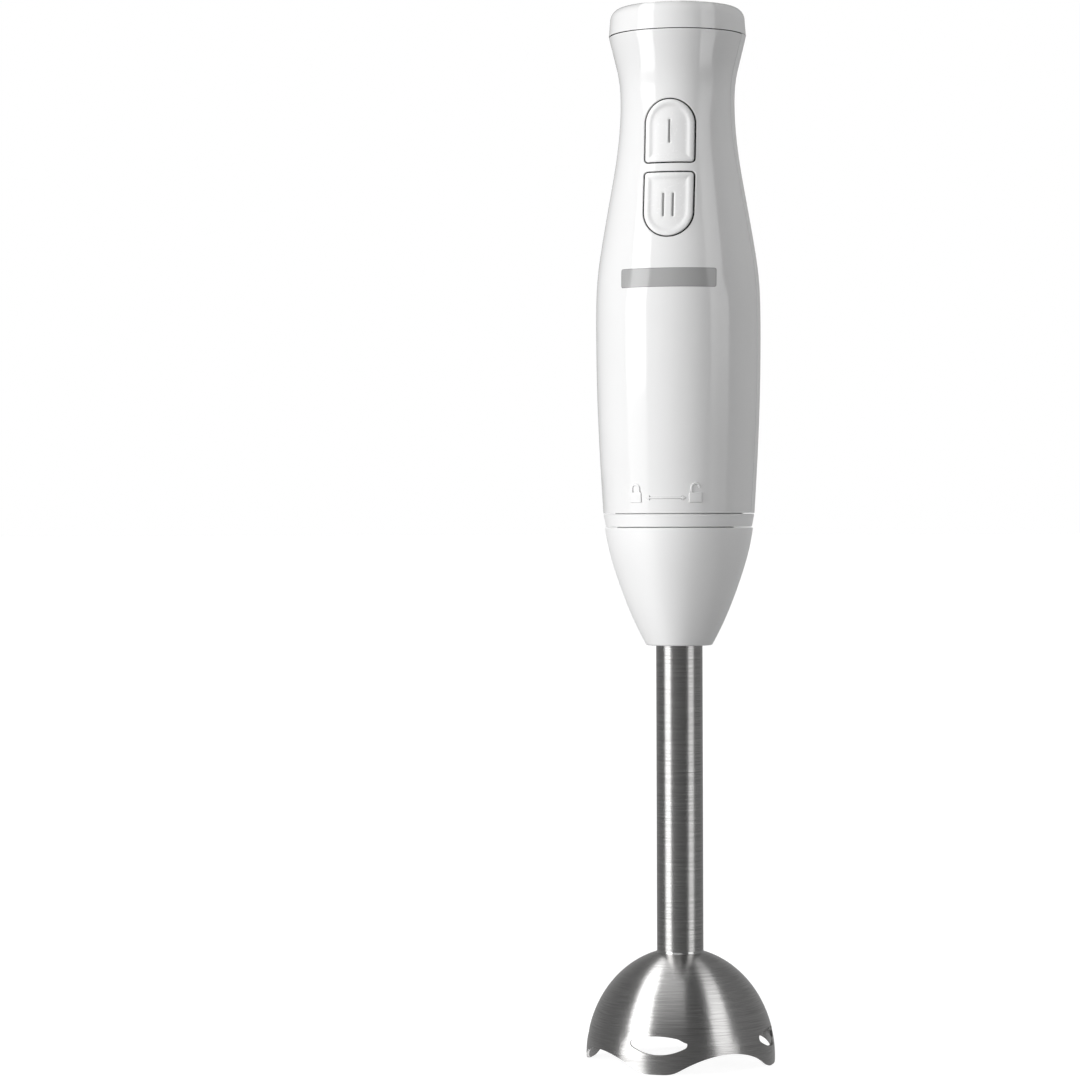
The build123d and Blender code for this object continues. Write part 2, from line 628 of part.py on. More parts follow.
with BuildPart() as shaft_tube:
    revolve(outline((TUBE_RADIUS - TUBE_WALL, BELL_TOP), (TUBE_RADIUS - 0.35, BELL_TOP),
                    (TUBE_RADIUS, BELL_TOP + 0.35), (TUBE_RADIUS, 182.2),
                    (TUBE_RADIUS - TUBE_WALL, 182.2)), axis=Axis.Z)
export(shaft_tube, "shaft_tube")

with BuildPart() as bell_guard:
    inner_radius, inner_height = BELL_RADIUS - BELL_WALL, BELL_HEIGHT - BELL_WALL
    throat = TUBE_RADIUS - TUBE_WALL
    with BuildSketch(Plane.XZ):
        with BuildLine():
            outside = Spline(*dome_points(BELL_RADIUS, BELL_HEIGHT, TUBE_RADIUS))
            inside = Spline(*dome_points(inner_radius, inner_height, throat))
            Polyline(outside @ 1, (throat, (outside @ 1).Y), inside @ 1)
            Polyline(inside @ 0, (inner_radius, 0), (BELL_RADIUS, 0), outside @ 0)
        make_face()
    revolve(axis=Axis.Z)
    # scallops between the lobes, their corners rounded into the flat lands
    drop = SCALLOP_RADIUS - SCALLOP_HEIGHT
    reach = SCALLOP_RADIUS + SCALLOP_CORNER
    corner_x = sqrt(reach ** 2 - (drop + SCALLOP_CORNER) ** 2)
    lean = atan2(corner_x, drop + SCALLOP_CORNER)
    touch = Vector(SCALLOP_RADIUS * sin(lean), SCALLOP_RADIUS * cos(lean) - drop)
    for turn in (45, 135):
        with BuildSketch(Plane.XZ.rotated((0, 0, LOBE_TURN - FRONT + turn))):
            with BuildLine():
                ThreePointArc((-touch.X, touch.Y), (0, SCALLOP_HEIGHT), touch)
                for side in (-1, 1):
                    TangentArc((side * touch.X, touch.Y), (side * corner_x, 0),
                               tangent=(side * cos(lean), -sin(lean)))
                Polyline((corner_x, 0), (corner_x, -5), (-corner_x, -5), (-corner_x, 0))
            make_face()
        extrude(amount=FAR, both=True, mode=Mode.SUBTRACT)
    # one window in each lobe
    for turn in (0, 90):
        with BuildSketch(Plane.XZ.rotated((0, 0, LOBE_TURN - FRONT + turn))) as window:
            half = WINDOW_CHORD / 2
            with BuildLine():
                ThreePointArc((-half, WINDOW_ENDS), (0, WINDOW_TOP), (half, WINDOW_ENDS))
                ThreePointArc((-half, WINDOW_ENDS), (0, WINDOW_BOTTOM), (half, WINDOW_ENDS))
            make_face()
            fillet(window.vertices(), WINDOW_END_RADIUS)
        extrude(amount=FAR, both=True, mode=Mode.SUBTRACT)
export(bell_guard, "bell_guard")

# ---------------------------------------------------------------- bushes and seals
TUBE_BORE = TUBE_RADIUS - TUBE_WALL
for name, low, high in (("lower_bush", 42.5, 55.0), ("upper_bush", 168.0, 180.0)):
    with BuildPart() as bush:
        revolve(ring(BUSH_BORE, TUBE_BORE, low, high), axis=Axis.Z)
        chamfer(bush.edges().filter_by(GeomType.CIRCLE), 0.3)
    export(bush, name)

with BuildPart() as shaft_seal:
    revolve(outline((BUSH_BORE + 1.0, 41.8), (TUBE_BORE, 41.8), (TUBE_BORE, 36.0), (5.6, 36.0),
                    (BUSH_BORE, 34.8), (BUSH_BORE, 36.2), (BUSH_BORE + 1.0, 38.0)), axis=Axis.Z)
export(shaft_seal, "shaft_seal")

with BuildPart() as neck_seal:
    revolve(outline((BUSH_BORE, 182.4), (6.0, 182.4), (6.0, 187.4), (4.4, 187.4),
                    (BUSH_BORE, 188.6)), axis=Axis.Z)
export(neck_seal, "neck_seal")

# ================================================================ blade drive
with BuildPart() as drive_shaft:
    revolve(ring(0, SHAFT_RADIUS, 11.0, 203.6), axis=Axis.Z)
    chamfer(drive_shaft.edges().filter_by(GeomType.CIRCLE), 0.4)
export(drive_shaft, "drive_shaft")

BLADE_HEIGHT = 14.6         # underside of the blade's flat middle
BLADE_THICKNESS = 1.4
with BuildPart() as blade:
    tip = 24.0
    with BuildSketch(Plane.XZ):
        with BuildLine():
            middle_line = Polyline((-tip, BLADE_HEIGHT - 2.6), (-9.0, BLADE_HEIGHT),
                                   (9.0, BLADE_HEIGHT), (tip, BLADE_HEIGHT + 2.6))
            offset(middle_line, BLADE_THICKNESS, side=Side.LEFT)
        make_face()
    extrude(amount=10.0, both=True)
    with BuildSketch(Plane.XY) as planform:
        with BuildLine():
            Polyline((-9.0, -6.2), (-4.0, -7.0), (4.0, -7.0), (9.0, -6.2))
            ThreePointArc((9.0, -6.2), (17.0, -5.4), (23.6, -1.6))
            ThreePointArc((23.6, -1.6), (24.0, 0.6), (23.2, 2.6))
            ThreePointArc((23.2, 2.6), (16.0, 4.0), (9.0, 6.2))
            Polyline((9.0, 6.2), (4.0, 7.0), (-4.0, 7.0), (-9.0, 6.2))
            ThreePointArc((-9.0, 6.2), (-17.0, 5.4), (-23.6, 1.6))
            ThreePointArc((-23.6, 1.6), (-24.0, -0.6), (-23.2, -2.6))
            ThreePointArc((-23.2, -2.6), (-16.0, -4.0), (-9.0, -6.2))
        make_face()
    extrude(planform.sketch, amount=FAR, mode=Mode.INTERSECT)
    revolve(ring(0, SHAFT_RADIUS, 0, 30), axis=Axis.Z, mode=Mode.SUBTRACT)
export(blade, "blade")

with BuildPart() as blade_hub:
    revolve(outline((SHAFT_RADIUS, 16.0), (6.0, 16.0), (6.0, 18.5), (4.6, 21.5), (4.6, 29.0),
                    (4.0, 29.6), (SHAFT_RADIUS, 29.6)), axis=Axis.Z)
export(blade_hub, "blade_hub")

with BuildPart() as blade_nut:
    with BuildSketch(Plane.XY.offset(9.6)):
        RegularPolygon(4.9, 6, major_radius=False)
    extrude(amount=5.0)
    revolve(outline((0, 9.6), (4.4, 9.6), (6.4, 11.6), (6.4, 14.6), (0, 14.6)),
            axis=Axis.Z, mode=Mode.INTERSECT)
    revolve(ring(0, SHAFT_RADIUS, 11.0, 20.0), axis=Axis.Z, mode=Mode.SUBTRACT)
export(blade_nut, "blade_nut")
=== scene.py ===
import json
from math import cos, degrees, hypot, pi, radians, sin, sqrt

import bmesh
import bpy
import numpy as np
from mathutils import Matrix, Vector
from mathutils.bvhtree import BVHTree
from mathutils.geometry import delaunay_2d_cdt


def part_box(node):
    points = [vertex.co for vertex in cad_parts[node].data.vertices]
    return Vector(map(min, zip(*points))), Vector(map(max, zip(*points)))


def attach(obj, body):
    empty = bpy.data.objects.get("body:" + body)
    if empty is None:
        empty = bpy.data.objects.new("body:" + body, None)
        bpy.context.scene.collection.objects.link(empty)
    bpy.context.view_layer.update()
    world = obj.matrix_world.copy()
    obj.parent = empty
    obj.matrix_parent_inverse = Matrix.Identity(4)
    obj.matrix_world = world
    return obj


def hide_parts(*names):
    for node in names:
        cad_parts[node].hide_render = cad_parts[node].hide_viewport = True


# Immersion blender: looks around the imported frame.
# Everything is in metres in the frame's own axes. Shapes below are worked out in
# millimetres and brought to metres by MM.

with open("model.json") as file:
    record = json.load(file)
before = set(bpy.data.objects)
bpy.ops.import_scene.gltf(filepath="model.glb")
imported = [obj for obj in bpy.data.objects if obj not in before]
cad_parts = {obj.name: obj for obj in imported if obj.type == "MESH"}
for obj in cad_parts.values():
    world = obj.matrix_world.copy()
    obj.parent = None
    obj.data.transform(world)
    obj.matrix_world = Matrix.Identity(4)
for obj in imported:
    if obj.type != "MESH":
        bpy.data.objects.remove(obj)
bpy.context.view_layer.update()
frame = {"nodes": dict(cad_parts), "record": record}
nodes = frame["nodes"]
scene = bpy.context.scene
MM = 0.001
FRONT = -pi / 2             # direction of the handle's front about the axis


# ================================================================ camera
CAMERA_DISTANCE = 1.2085    # from the blender's axis
CAMERA_HEIGHT = 0.194
SIGHT_AZIMUTH = radians(8.0)        # the blender is seen this far round from its front
OFF_CENTRE = radians(2.34)          # and stands this far to the right in the picture
PITCH_DOWN = radians(0.42)
FRAME_ROLL = radians(0.2)
SENSOR = 36.0
LENS = 113.3

camera_data = bpy.data.cameras.new("camera")
camera_data.sensor_width = SENSOR
camera_data.lens = LENS
camera_data.clip_start = 0.01
camera = bpy.data.objects.new("camera", camera_data)
camera.rotation_mode = "XYZ"
camera.location = (CAMERA_DISTANCE * sin(SIGHT_AZIMUTH), -CAMERA_DISTANCE * cos(SIGHT_AZIMUTH), CAMERA_HEIGHT)
camera.rotation_euler = (pi / 2 - PITCH_DOWN, FRAME_ROLL, SIGHT_AZIMUTH + OFF_CENTRE)
scene.collection.objects.link(camera)
scene.camera = camera


# ================================================================ studio
# The world carries what glossy surfaces mirror: a tall softbox each side of the camera, a
# small one overhead and a dim room between them. It is laid out by the surface that mirrors
# it towards the front: turn is that surface's direction about the axis and tilt how far it
# leans up, both in degrees, so a box bends over the top of the blender as a tunnel does.
# Suns that no reflection shows light everything else.
LEFT_BOX = (-39.0, -23.0)   # turns of the softboxes' edges
RIGHT_BOX = (23.0, 37.5)
TOP_BOX = (-22.0, 4.0)
BOX_EDGE = 0.6              # half the width of a softbox's soft edge
LEFT_GLOW = 4.1             # brightest part of each softbox
RIGHT_GLOW = 3.1
TOP_GLOW = 0.75
NARROWING = 0.13            # share by which the softboxes look narrower in leaning surfaces
# (tilt, share of the softbox's glow), from straight down to straight up
LEFT_RISE = [(-90, 0.42), (-30, 0.42), (-14, 0.9), (-7, 0.9), (-4.5, 0.28), (-0.5, 0.28), (0.2, 1.0),
             (42, 1.0), (60, 0.35), (90, 0.3)]
RIGHT_RISE = [(-90, 0.6), (-9, 0.8), (-6.4, 0.24), (-1.7, 0.24), (2.3, 0.6), (25, 0.58), (40, 0.42),
              (50, 0.25), (65, 0.1), (90, 0.1)]
TOP_RISE = [(-90, 0), (10, 0), (40, 1), (90, 1)]
LEANING = [(-90, 1), (-10, 1), (-5, 0), (3.5, 0), (7, 1), (90, 1)]    # (tilt, whether it leans)
# (turn, brightness) of the room all round
ROOM = [(-90, 0.46), (-70, 0.34), (-56, 0.24), (-42, 0.22), (-18, 0.30), (0, 0.20), (15, 0.14),
        (40, 0.28), (59, 0.28), (70, 0.34), (90, 0.46)]


def ramp(tree, socket, low, high, stops):
    """A grey value read from stops, where socket runs from low to high. Returns its socket."""
    scale = tree.nodes.new("ShaderNodeMapRange")
    scale.inputs["From Min"].default_value = low
    scale.inputs["From Max"].default_value = high
    curve = tree.nodes.new("ShaderNodeValToRGB")
    elements = curve.color_ramp.elements
    while len(elements) < len(stops):
        elements.new(0.5)
    for element, (place, value) in zip(elements, stops):
        element.position = (place - low) / (high - low)
    for element, (place, value) in zip(elements, stops):
        element.color = (value, value, value, 1)
    tree.links.new(socket, scale.inputs["Value"])
    tree.links.new(scale.outputs[0], curve.inputs[0])
    return curve.outputs[0]


def maths(tree, operation, first, second):
    """One math node over two sockets or numbers. Returns its socket."""
    made = tree.nodes.new("ShaderNodeMath")
    made.operation = operation
    for place, value in enumerate((first, second)):
        if isinstance(value, (int, float)):
            made.inputs[place].default_value = value
        else:
            tree.links.new(value, made.inputs[place])
    return made.outputs[0]


def softbox(tree, turn, tilt, edges, glow, rise):
    """The brightness of one softbox in the sky."""
    first, last = edges
    across = ramp(tree, turn, -90, 90, [(-90, 0), (first - BOX_EDGE, 0), (first + BOX_EDGE, 1),
                                        (last - BOX_EDGE, 1), (last + BOX_EDGE, 0), (90, 0)])
    up = ramp(tree, tilt, -90, 90, rise)
    return maths(tree, "MULTIPLY", maths(tree, "MULTIPLY", across, up), glow)


def sun(name, azimuth, elevation, strength, spread_angle):
    """A soft light from one side, azimuth and elevation in degrees from the camera."""
    data = bpy.data.lights.new(name, "SUN")
    data.energy = strength
    data.angle = radians(spread_angle)
    light = bpy.data.objects.new(name, data)
    light.rotation_mode = "XYZ"
    light.rotation_euler = (radians(90 - elevation), 0, SIGHT_AZIMUTH + radians(azimuth))
    light.visible_glossy = False
    scene.collection.objects.link(light)


world = bpy.data.worlds.new("studio")
scene.world = world
world.use_nodes = True
world.cycles_visibility.diffuse = False
sky = world.node_tree
sky.nodes.clear()
place = sky.nodes.new("ShaderNodeTexCoord")
round_to_front = sky.nodes.new("ShaderNodeMapping")
round_to_front.inputs["Rotation"].default_value = (0, 0, -SIGHT_AZIMUTH)
axes = sky.nodes.new("ShaderNodeSeparateXYZ")
sky.links.new(place.outputs["Generated"], round_to_front.inputs["Vector"])
sky.links.new(round_to_front.outputs[0], axes.inputs[0])
right, back, up = axes.outputs
front = maths(sky, "SUBTRACT", 1.0, back)
level = maths(sky, "SQRT", maths(sky, "ADD", maths(sky, "MULTIPLY", right, right),
                                 maths(sky, "MULTIPLY", front, front)), 0.0)
turn = maths(sky, "MULTIPLY", maths(sky, "ARCTAN2", right, front), degrees(1))
tilt = maths(sky, "MULTIPLY", maths(sky, "ARCTAN2", up, level), degrees(1))
glow = ramp(sky, turn, -90, 90, ROOM)
widened = maths(sky, "ADD", maths(sky, "MULTIPLY", ramp(sky, tilt, -90, 90, LEANING), NARROWING), 1.0)
box_turn = maths(sky, "MULTIPLY", turn, widened)
softboxes = [(LEFT_BOX, LEFT_GLOW, LEFT_RISE), (RIGHT_BOX, RIGHT_GLOW, RIGHT_RISE),
             (TOP_BOX, TOP_GLOW, TOP_RISE)]
for box in softboxes:
    glow = maths(sky, "ADD", glow, softbox(sky, box_turn, tilt, *box))
mirrored = sky.nodes.new("ShaderNodeBackground")
sky.links.new(glow, mirrored.inputs["Strength"])
backdrop = sky.nodes.new("ShaderNodeBackground")
backdrop.inputs["Color"].default_value = (1, 1, 1, 1)
path = sky.nodes.new("ShaderNodeLightPath")
choice = sky.nodes.new("ShaderNodeMixShader")
out = sky.nodes.new("ShaderNodeOutputWorld")
sky.links.new(path.outputs["Is Camera Ray"], choice.inputs[0])
sky.links.new(mirrored.outputs[0], choice.inputs[1])
sky.links.new(backdrop.outputs[0], choice.inputs[2])
sky.links.new(choice.outputs[0], out.inputs[0])
scene.view_settings.view_transform = "Standard"

sun("key", -66, 12, 2.35, 30)
sun("front_fill", -20, 10, 1.28, 30)
sun("right_fill", 120, 10, 1.75, 30)
sun("back", 180, 15, 0.9, 60)
sun("overhead", 0, 85, 0.6, 120)
sun("underlight", 0, -70, 0.6, 120)


# ================================================================ materials
NOISE_LOW, NOISE_HIGH = 0.3, 0.7    # the middle range of a noise, where most of its values lie
GAP_SHADE_SAMPLES = 8
# painted shade: the dark colour that narrow gaps are painted with
GAP_SHADE_COLOUR = (0.03, 0.03, 0.03)


def principled(name):
    """A new node material with its Principled shader, returned with its tree."""
    material = bpy.data.materials.new(name)
    material.use_nodes = True
    shader = material.node_tree.nodes["Principled BSDF"]
    return material, shader, material.node_tree


def node(tree, kind, **values):
    """A node with some of its properties and input values set."""
    made = tree.nodes.new(kind)
    for key, value in values.items():
        if key in made.inputs:
            made.inputs[key].default_value = value
        else:
            setattr(made, key, value)
    return made


def grain(tree, scale, detail=3.0, stretch=(1, 1, 1)):
    """A noise in the object's own space, stretched along its axes. Gives its factor socket."""
    place = tree.nodes.new("ShaderNodeTexCoord")
    squeeze = node(tree, "ShaderNodeMapping")
    squeeze.inputs["Scale"].default_value = stretch
    noise = tree.nodes.new("ShaderNodeTexNoise")
    noise.inputs["Scale"].default_value = scale
    noise.inputs["Detail"].default_value = detail
    tree.links.new(place.outputs["Object"], squeeze.inputs["Vector"])
    tree.links.new(squeeze.outputs[0], noise.inputs["Vector"])
    return noise.outputs[0]


def between(tree, factor, dark, light):
    """A colour ramp from dark to light over a noise's middle range."""
    curve = tree.nodes.new("ShaderNodeValToRGB")
    for element, place, colour in zip(curve.color_ramp.elements, (NOISE_LOW, NOISE_HIGH), (dark, light)):
        element.position = place
        element.color = (*colour, 1)
    tree.links.new(factor, curve.inputs[0])
    return curve.outputs[0]


def spread(tree, factor, low, high):
    """A number that runs from low to high over a noise's middle range."""
    scale = tree.nodes.new("ShaderNodeMapRange")
    scale.inputs["From Min"].default_value = NOISE_LOW
    scale.inputs["From Max"].default_value = NOISE_HIGH
    scale.inputs["To Min"].default_value = low
    scale.inputs["To Max"].default_value = high
    tree.links.new(factor, scale.inputs["Value"])
    return scale.outputs[0]


def bump(tree, shader, height, distance):
    """Bump from a height socket, distance in metres."""
    made = tree.nodes.new("ShaderNodeBump")
    made.inputs["Distance"].default_value = distance
    tree.links.new(height, made.inputs["Height"])
    tree.links.new(made.outputs[0], shader.inputs["Normal"])


def painted_gap_shade(tree, tint, reach):
    """Painted shade: a colour that turns dark where the surface is closed in on a scale of reach. Returns its
    socket.
    """
    closed = node(tree, "ShaderNodeAmbientOcclusion", samples=GAP_SHADE_SAMPLES)
    closed.inputs["Distance"].default_value = reach
    open_share = spread(tree, closed.outputs["AO"], 0.0, 1.0)
    darken = node(tree, "ShaderNodeMix", data_type="RGBA")
    darken.inputs[6].default_value = (*GAP_SHADE_COLOUR, 1)
    tree.links.new(open_share, darken.inputs[0])
    tree.links.new(tint, darken.inputs[7])
    return darken.outputs[2]


def moulded(name, colour, roughness, texture=2200.0, depth=0.000004, change=0.03, density=1.5, gap_shade_reach=0.0):
    """Moulded plastic or rubber: a fine skin texture, slightly uneven gloss and colour.

    Where a gap reach is given, gaps narrower than it get painted shade: a darker colour standing in for the
    shadow in them."""
    material, shader, tree = principled(name)
    fine = grain(tree, texture)
    broad = grain(tree, 35.0, 2.0)
    low = tuple(c * (1 - change) for c in colour)
    high = tuple(min(1.0, c * (1 + change)) for c in colour)
    tint = between(tree, broad, low, high)
    if gap_shade_reach:
        # painted shade: narrow gaps darkened in the base colour
        tint = painted_gap_shade(tree, tint, gap_shade_reach)
    tree.links.new(tint, shader.inputs["Base Color"])
    tree.links.new(spread(tree, fine, roughness * 0.85, roughness * 1.15), shader.inputs["Roughness"])
    bump(tree, shader, fine, depth)
    shader.inputs["IOR"].default_value = density
    return material


def strokes_round_axis(tree, lines, along):
    """Noise drawn out round the axis, with as many lines a metre up a tube as over a dome or a flat end."""
    place = tree.nodes.new("ShaderNodeTexCoord")
    axes = tree.nodes.new("ShaderNodeSeparateXYZ")
    tree.links.new(place.outputs["Object"], axes.inputs[0])
    x, y, z = axes.outputs
    squared = maths(tree, "ADD", maths(tree, "MULTIPLY", x, x), maths(tree, "MULTIPLY", y, y))
    down_and_out = maths(tree, "SUBTRACT", maths(tree, "SQRT", squared, 0.0), z)
    spot = tree.nodes.new("ShaderNodeCombineXYZ")
    for socket, axis, scale in zip(spot.inputs, (x, y, down_and_out), (along, along, lines)):
        tree.links.new(maths(tree, "MULTIPLY", axis, scale), socket)
    noise = node(tree, "ShaderNodeTexNoise", Scale=1.0, Detail=3.0)
    tree.links.new(spot.outputs[0], noise.inputs["Vector"])
    return noise.outputs[0]


def turned_metal(name, colour, roughness, lines, depth, anisotropy=0.55, change=0.12, along=180.0):
    """Metal brushed round the axis: fine lines, and gloss stretched across them."""
    material, shader, tree = principled(name)
    shader.inputs["Metallic"].default_value = 1.0
    strokes = strokes_round_axis(tree, lines, along)
    broad = grain(tree, 18.0, 2.0, (1, 1, 3))
    low = tuple(c * (1 - change) for c in colour)
    high = tuple(min(1.0, c * (1 + change)) for c in colour)
    tree.links.new(between(tree, strokes, low, high), shader.inputs["Base Color"])
    tree.links.new(spread(tree, broad, roughness * 0.9, roughness * 1.1), shader.inputs["Roughness"])
    shader.inputs["Anisotropic"].default_value = anisotropy
    shader.inputs["Anisotropic Rotation"].default_value = 0.25
    tangent = tree.nodes.new("ShaderNodeTangent")
    tangent.direction_type = "RADIAL"
    tangent.axis = "Z"
    tree.links.new(tangent.outputs[0], shader.inputs["Tangent"])
    bump(tree, shader, strokes, depth)
    return material


def plain_metal(name, colour, roughness, texture=900.0, depth=0.000004, change=0.08):
    """Machined or plated metal with fine scratches and uneven gloss."""
    material, shader, tree = principled(name)
    shader.inputs["Metallic"].default_value = 1.0
    fine = grain(tree, texture)
    low = tuple(c * (1 - change) for c in colour)
    high = tuple(min(1.0, c * (1 + change)) for c in colour)
    tree.links.new(between(tree, fine, low, high), shader.inputs["Base Color"])
    tree.links.new(spread(tree, fine, roughness * 0.8, roughness * 1.2), shader.inputs["Roughness"])
    bump(tree, shader, fine, depth)
    return material


WHITE = (0.86, 0.86, 0.86)
GLOSS = 1.62                # refractive index of the handle's lacquer-like plastic
GAP_SHADE_REACH = 0.0015          # painted shade: gaps narrower than this darken in colour, in metres
# handle_plastic and button_plastic paint shade into their narrow gaps
looks = {
    "handle_plastic": moulded("handle_plastic", WHITE, 0.055, texture=700.0, depth=0.0000008, change=0.01,
                              density=GLOSS, gap_shade_reach=GAP_SHADE_REACH),
    "collar_plastic": moulded("collar_plastic", WHITE, 0.42, texture=1500.0, depth=0.000002, change=0.01),
    "button_plastic": moulded("button_plastic", WHITE, 0.25, texture=900.0, depth=0.000001, change=0.01,
                              gap_shade_reach=GAP_SHADE_REACH),
    "mark_grey": moulded("mark_grey", (0.22, 0.22, 0.22), 0.5),
    "nameplate_grey": moulded("nameplate_grey", (0.40, 0.40, 0.40), 0.12, texture=900.0, depth=0.000001,
                              change=0.02, density=GLOSS),
    "brushed_steel": turned_metal("brushed_steel", (0.50, 0.495, 0.49), 0.25, lines=9000.0, depth=0.0000006,
                                  change=0.26, along=90.0),
    "blade_steel": plain_metal("blade_steel", (0.6, 0.6, 0.6), 0.22),
    "shaft_steel": turned_metal("shaft_steel", (0.61, 0.61, 0.605), 0.15, lines=9000.0, depth=0.0000003,
                                anisotropy=0.4, change=0.1, along=1500.0),
    "bayonet_plastic": moulded("bayonet_plastic", (0.42, 0.43, 0.44), 0.42),
    "coupler_plastic": moulded("coupler_plastic", (0.03, 0.03, 0.033), 0.5),
    "rubber_dark": moulded("rubber_dark", (0.035, 0.035, 0.035), 0.7, texture=1500.0, depth=0.00002),
    "bush_bronze": plain_metal("bush_bronze", (0.5, 0.33, 0.15), 0.4),
    "zinc_screws": plain_metal("zinc_screws", (0.62, 0.63, 0.66), 0.28),
    "clamp_plastic": moulded("clamp_plastic", (0.68, 0.67, 0.62), 0.45),
    "board_laminate": moulded("board_laminate", (0.02, 0.12, 0.05), 0.35),
    "switch_plastic": moulded("switch_plastic", (0.02, 0.02, 0.022), 0.45),
    "plunger_plastic": moulded("plunger_plastic", (0.45, 0.03, 0.02), 0.4),
    "capacitor_plastic": moulded("capacitor_plastic", (0.55, 0.40, 0.03), 0.35),
    "ferrite": plain_metal("ferrite", (0.35, 0.16, 0.07), 0.4),
    "bracket_plastic": moulded("bracket_plastic", (0.05, 0.05, 0.055), 0.5),
    "bearing_steel": plain_metal("bearing_steel", (0.6, 0.6, 0.62), 0.2),
    "lamination": turned_metal("lamination", (0.2, 0.2, 0.21), 0.4, lines=2600.0, depth=0.00003,
                               anisotropy=0.2),
    "copper": plain_metal("copper", (0.55, 0.2, 0.08), 0.3),
    "brush_brass": plain_metal("brush_brass", (0.6, 0.42, 0.14), 0.3),
    "carbon": moulded("carbon", (0.015, 0.015, 0.015), 0.6),
}
for part in frame["record"]["subparts"]:
    own = nodes[part["node"]]
    own.data.materials.clear()
    own.data.materials.append(looks[part["material_slot"]])


# ================================================================ shapes of added pieces
MERGE_DISTANCE = 0.0000005  # in metres


def piece(name, points, faces, slot, body, edge_angle=35.0):
    """A smooth-shaded mesh piece from points in millimetres, riding on a body."""
    mesh = bpy.data.meshes.new(name)
    mesh.from_pydata([tuple(c * MM for c in point) for point in points], [], faces)
    made = bpy.data.objects.new(name, mesh)
    scene.collection.objects.link(made)
    work = bmesh.new()
    work.from_mesh(mesh)
    bmesh.ops.remove_doubles(work, verts=work.verts, dist=MERGE_DISTANCE)
    bmesh.ops.recalc_face_normals(work, faces=work.faces)
    work.to_mesh(mesh)
    work.free()
    mesh.shade_smooth()
    mesh.set_sharp_from_angle(angle=radians(edge_angle))
    mesh.materials.append(looks[slot])
    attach(made, body)
    return made


def filled(loop, inner_loops=(), spacing=None, clearance=0.0):
    """Triangles inside a closed loop of flat points, through more loops and an even grid inside it.

    Gives all the flat points, the loop's own first, and the triangles."""
    points = [Vector(point) for point in loop]
    edges = [(i, (i + 1) % len(loop)) for i in range(len(loop))]
    for inner in inner_loops:
        first = len(points)
        points += [Vector(point) for point in inner]
        edges += [(first + i, first + (i + 1) % len(inner)) for i in range(len(inner))]
    if spacing:
        low = [min(point[axis] for point in loop) for axis in (0, 1)]
        high = [max(point[axis] for point in loop) for axis in (0, 1)]
        rows, columns = (int((high[axis] - low[axis]) / spacing) for axis in (1, 0))
        fixed = list(points)
        for row in range(rows + 1):
            for column in range(columns + 1):
                spot = Vector((low[0] + (column + 0.5) * spacing, low[1] + (row + 0.5) * spacing))
                if inside(spot, loop) and all((spot - other).length > clearance for other in fixed):
                    points.append(spot)
    flat, _, faces, *_ = delaunay_2d_cdt(points, edges, [], 1, 0.00001)
    return [tuple(point) for point in flat], [tuple(face) for face in faces]


def inside(spot, loop):
    """Whether a flat point lies inside a closed loop."""
    found = False
    for (x1, y1), (x2, y2) in zip(loop, loop[1:] + loop[:1]):
        if (y1 > spot[1]) != (y2 > spot[1]) and spot[0] < x1 + (spot[1] - y1) * (x2 - x1) / (y2 - y1):
            found = not found
    return found


def bridged(rings):
    """Quads between each closed ring of points and the next. Gives the points and the faces."""
    count = len(rings[0])
    points = [point for ring in rings for point in ring]
    faces = []
    for level in range(len(rings) - 1):
        for i in range(count):
            j = (i + 1) % count
            here, there = level * count, (level + 1) * count
            faces.append((here + i, here + j, there + j, there + i))
    return points, faces


def joined(*shells):
    """Several (points, faces) shells as one."""
    points, faces = [], []
    for more_points, more_faces in shells:
        faces += [tuple(i + len(points) for i in face) for face in more_faces]
        points += more_points
    return points, faces


LATHE_STEPS = 128


def lathed(outline):
    """A ring turned about the axis from a closed (radius, height) outline."""
    rings = []
    for r, z in outline + outline[:1]:
        angles = [2 * pi * i / LATHE_STEPS for i in range(LATHE_STEPS)]
        rings.append([(r * cos(angle), r * sin(angle), z) for angle in angles])
    return bridged(rings)


SKIN_LOW, SKIN_HIGH = 195.5, 362.5      # heights between which the handle's skin is measured
SKIN_SAMPLES = 80
SKIN_DEGREE = 11
OUTSIDE = 200.0                         # well behind the handle


def skin_of(name):
    """A CAD node's triangles, to cast rays at."""
    mesh = nodes[name].data
    return BVHTree.FromPolygons([v.co for v in mesh.vertices], [tuple(p.vertices) for p in mesh.polygons])


def first_hit(skin, y, height):
    """Where a ray from y at a height, in the middle plane, first meets a skin towards the front."""
    return skin.ray_cast(Vector((0, y * MM, height * MM)), Vector((0, -1, 0)))[0].y / MM


def measured_radius(name):
    """The turned skin of a CAD node as a polynomial radius of height, which runs from 0 to 1 over it."""
    skin = skin_of(name)
    shares = [i / SKIN_SAMPLES for i in range(SKIN_SAMPLES + 1)]
    radii = [first_hit(skin, OUTSIDE, SKIN_LOW + (SKIN_HIGH - SKIN_LOW) * share) for share in shares]
    return np.poly1d(np.polyfit(shares, radii, SKIN_DEGREE))


skin_curve = measured_radius("rear_housing")


def skin_radius(height):
    """The handle's outer radius at a height, in millimetres."""
    return float(skin_curve((height - SKIN_LOW) / (SKIN_HIGH - SKIN_LOW)))


